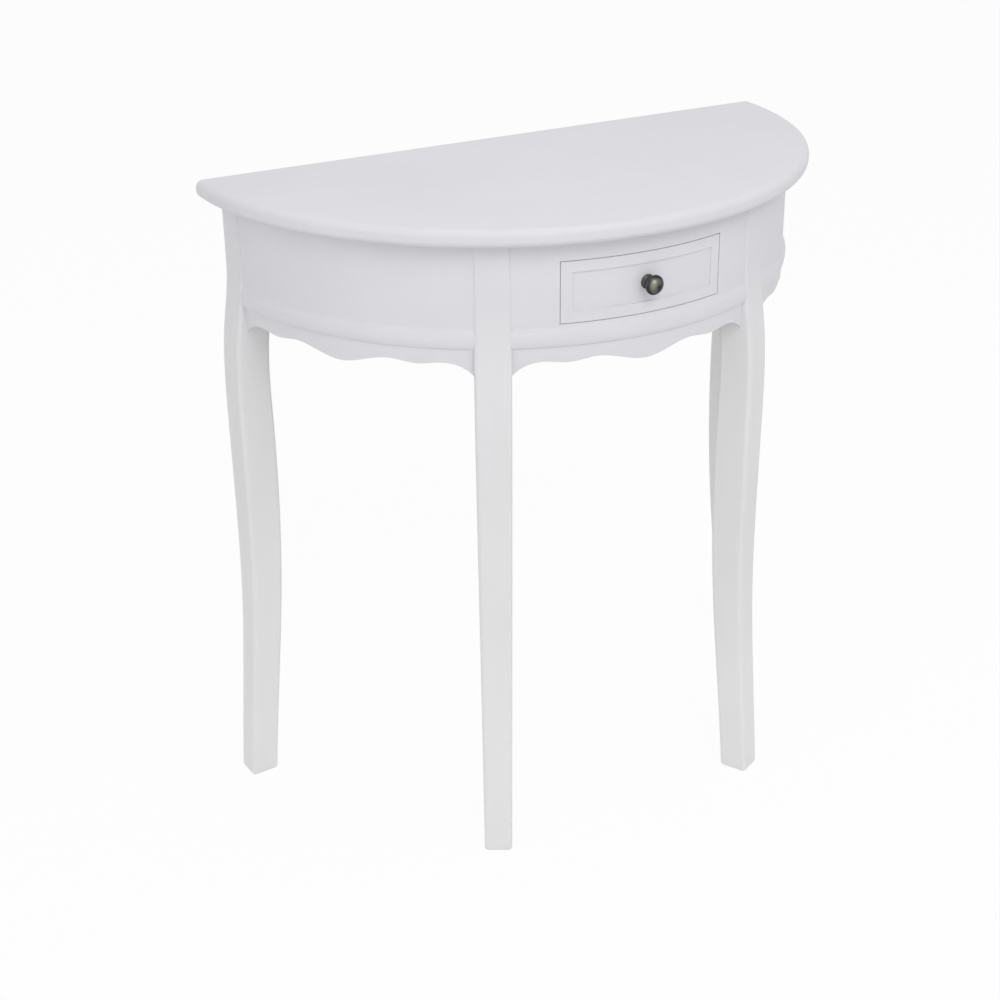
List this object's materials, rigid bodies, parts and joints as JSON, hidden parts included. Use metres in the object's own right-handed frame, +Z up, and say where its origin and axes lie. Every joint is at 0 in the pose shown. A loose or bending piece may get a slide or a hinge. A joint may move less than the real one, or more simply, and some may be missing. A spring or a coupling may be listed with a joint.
{
  "type": "demilune table",
  "caption": "Half-round white wall table with a rounded top, cabriole legs, scalloped curved aprons with an applied bead, and a bowed drawer with a turned metal knob.",
  "frame": {"origin": "middle of the bounding box on the floor", "axes": "+Z up, -Y towards the curved front with the drawer, +Y towards the straight back edge at the wall, +X to the right seen from the front"},
  "size_m": [0.7654, 0.3739, 0.76],
  "materials": {
    "painted_wood": "satin white paint",
    "bare_wood": "bare planed wood",
    "aged_brass": "aged, dull polish",
    "steel": "plain zinc-plated"
  },
  "bodies": {
    "frame": {"top_panel": "painted_wood", "leg_front_left": "painted_wood", "leg_front_right": "painted_wood", "leg_back_left": "painted_wood", "leg_back_right": "painted_wood", "apron_left": "painted_wood", "apron_front": "painted_wood", "apron_right": "painted_wood", "bead_left": "painted_wood", "bead_front": "painted_wood", "bead_right": "painted_wood", "back_rail": "painted_wood", "corner_block_front_left": "bare_wood", "corner_block_front_right": "bare_wood", "corner_block_back_left": "bare_wood", "corner_block_back_right": "bare_wood", "leg_screws": "steel", "top_screws": "steel", "drawer_runner_left": "bare_wood", "drawer_runner_right": "bare_wood"},
    "drawer": {"drawer_front": "painted_wood", "drawer_side_left": "bare_wood", "drawer_side_right": "bare_wood", "drawer_back": "bare_wood", "drawer_bottom": "bare_wood", "knob": "aged_brass", "knob_rosette": "aged_brass", "knob_screw": "steel"}
  },
  "joints": [
    {"name": "drawer_slide", "type": "slide", "parent": "frame", "child": "drawer", "axis": [0, -1, 0], "range_m": [0, 0.2]}
  ]
}
